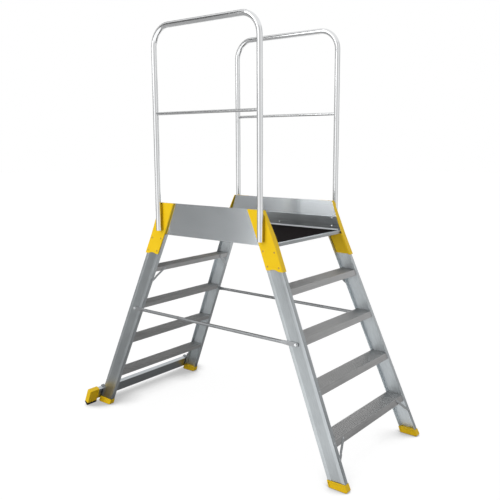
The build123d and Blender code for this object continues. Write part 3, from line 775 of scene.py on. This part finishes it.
floor_paint, tree, output = new_material("pale_floor")
paint = add(tree, "BsdfDiffuse", {"Color": linear(FLOOR_GREY)})
near = add(tree, "AmbientOcclusion", {"Distance": SHADOW_REACH})
open_floor = add(tree, "MapRange", {
    "Value": near.outputs["AO"], "From Min": SHADOW_STOPS[0], "From Max": SHADOW_STOPS[1],
    "To Min": SHADOW_GLOW, "To Max": FLOOR_GLOW,
})
glow = add(tree, "Emission", {"Strength": open_floor.outputs["Result"]})
share = add(tree, "Math", {0: seen_as_background(tree), 1: FLOOR_SHARE}, operation="MULTIPLY")
both = add(tree, "MixShader", {
    0: share.outputs["Value"], 1: paint.outputs["BSDF"], 2: glow.outputs["Emission"],
})
tree.links.new(both.outputs["Shader"], output.inputs["Surface"])
floor_paint.cycles.emission_sampling = "NONE"
floor.data.materials.append(floor_paint)
print("floor glow", FLOOR_GLOW, "in the open,", SHADOW_GLOW, "in corners")

# %% [markdown]
# The surround is the world itself: white to the eye, and somewhat weaker as light, so that pale
# metal doesn't burn out. A dome of panels would do the same with more pieces.

# %% Surround
SURROUND = 0.76

world = bpy.data.worlds.new("surround")
scene.world = world
world.use_nodes = True
world.cycles.sampling_method = "NONE"
tree = world.node_tree
tree.nodes.clear()
level = add(tree, "MapRange", {"Value": seen_as_background(tree), "To Min": SURROUND, "To Max": 1.0})
sky = add(tree, "Background", {"Color": linear("FFFFFF"), "Strength": level.outputs["Result"]})
add(tree, "OutputWorld", {"Surface": sky.outputs["Background"]})
print("surround", SURROUND, "as light, 1.0 to the eye")

# %% [markdown]
# Bare metal shows the room more than it shows itself, and in a room that is white all round it would
# look like paper. A photographer stands cards about such an object, so that each face picks up its
# own tone. These cards do the same work: reflections alone see them, and each is set where one group
# of faces looks by reflection from the camera's side. The front cards stand far away, so that faces
# of one direction meet a card's edge at the same angle, wherever on the object they are.

# %% Card helpers
def stand(bearing, distance, height, foot=0.0):
    """Place and turn of an upright card at a bearing in degrees from -Y toward +X."""
    around = math.radians(bearing)
    middle = foot + height / 2
    return (distance * math.sin(around), -distance * math.cos(around), middle), (math.pi / 2, 0.0, around)


def add_card(name, grey, size, place, turn=(0.0, 0.0, 0.0), glow=1.0):
    """Card of one grey that only glossy rays see."""
    card = add_plane(name, size, place, turn)
    for sense in ("visible_camera", "visible_diffuse", "visible_shadow"):
        setattr(card, sense, False)
    paint, tree, output = new_material(name)
    face = add(tree, "Emission", {"Color": linear(grey), "Strength": glow})
    tree.links.new(face.outputs["Emission"], output.inputs["Surface"])
    paint.cycles.emission_sampling = "NONE"
    card.data.materials.append(paint)
    return card


print("a card at bearing 90 stands at", [round(v, 1) for v in stand(90, 6.0, 2.0)[0]])

# %% [markdown]
# Each card is a grey, a size and a place in metres. Cards on the floor lie a few millimetres above it
# and above each other, so that none flickers through another.

# %% Cards about the platform
CARDS = [
    # In front, where kick plates and webs look: bright on the right and dark on the left.
    add_card("card_key", "FFFFFF", (21.0, 28.0), *stand(-16, 28.0, 28.0), glow=1.4),
    add_card("card_key_edge", "FFFFFF", (5.9, 28.0), *stand(-30.6, 27.0, 28.0, foot=4.0), glow=3.4),
    add_card("card_key_floor", "FFFFFF", (11.0, 26.0), (-0.5, -13.6, 0.003), glow=1.3),
    add_card("card_front_left", "727272", (10.8, 30.0), *stand(-51.2, 27.5, 30.0)),
    add_card("card_front_mid", "A0A0A0", (2.2, 30.0), *stand(-38.4, 28.0, 30.0)),
    add_card("card_floor_left", "B4B4B4", (9.0, 24.0), (-10.6, -7.2, 0.004), (0, 0, math.radians(-36.9))),
    # Behind the camera, for the fronts of tubes and rods.
    add_card("card_camera", "D4D4D4", (4.4, 6.0), *stand(42, 6.0, 6.0)),
    # Under the platform, for faces that lean over the floor: the bar and the back of the left flight.
    # The bar and under cards are painted shade: in reflections they grey the floor in the platform's shadow.
    add_card("card_bar", "686868", (0.17, 1.1), (-0.83, 0.0, 0.006)),
    add_card("card_under", "989898", (0.95, 2.0), (-0.27, 0.5, 0.006)),
    # At the right and behind, for faces turned to the right.
    # The floor card is painted shade: in reflections it greys the floor beside the platform, where shadow
    # falls.
    add_card("card_floor_right", "8C8C8C", (5.6, 7.4), (3.75, 3.4, 0.005)),
    add_card("card_back_right", "A6A6A6", (3.6, 8.0), *stand(131, 9.0, 8.0)),
    # Behind at the left, for level tops.
    add_card("card_back_low", "404040", (5.4, 1.8), *stand(-158, 12.0, 1.8, foot=1.3)),
    add_card("card_back_left", "646464", (11.0, 14.0), *stand(-118, 12.0, 14.0)),
]
print("cards", [card.name for card in CARDS])

# %% [markdown]
# One large softbox stands in front, to the left of the middle. It models the plastic, whose front
# faces come out brighter than the ends. A sun would do that too, but with hard shadows. Gloss doesn't
# see the softbox, because the cards already give the metal its highlights.

# %% Softbox
SOFTBOX_WATTS = 100.0
SOFTBOX_SIZE = (3.4, 4.6)
SOFTBOX_PLACE = Vector((-1.2, -4.5, 2.4))
SOFTBOX_AIM = Vector((0.0, 0.0, 1.1))

softbox = bpy.data.objects.new("softbox", bpy.data.lights.new("softbox", "AREA"))
softbox.data.energy = SOFTBOX_WATTS
softbox.data.shape = "RECTANGLE"
softbox.data.size, softbox.data.size_y = SOFTBOX_SIZE
softbox.location = SOFTBOX_PLACE
softbox.rotation_euler = (SOFTBOX_AIM - SOFTBOX_PLACE).to_track_quat("-Z", "Y").to_euler()
softbox.visible_glossy = False
scene.collection.objects.link(softbox)
print("softbox", softbox.data.energy, "W")
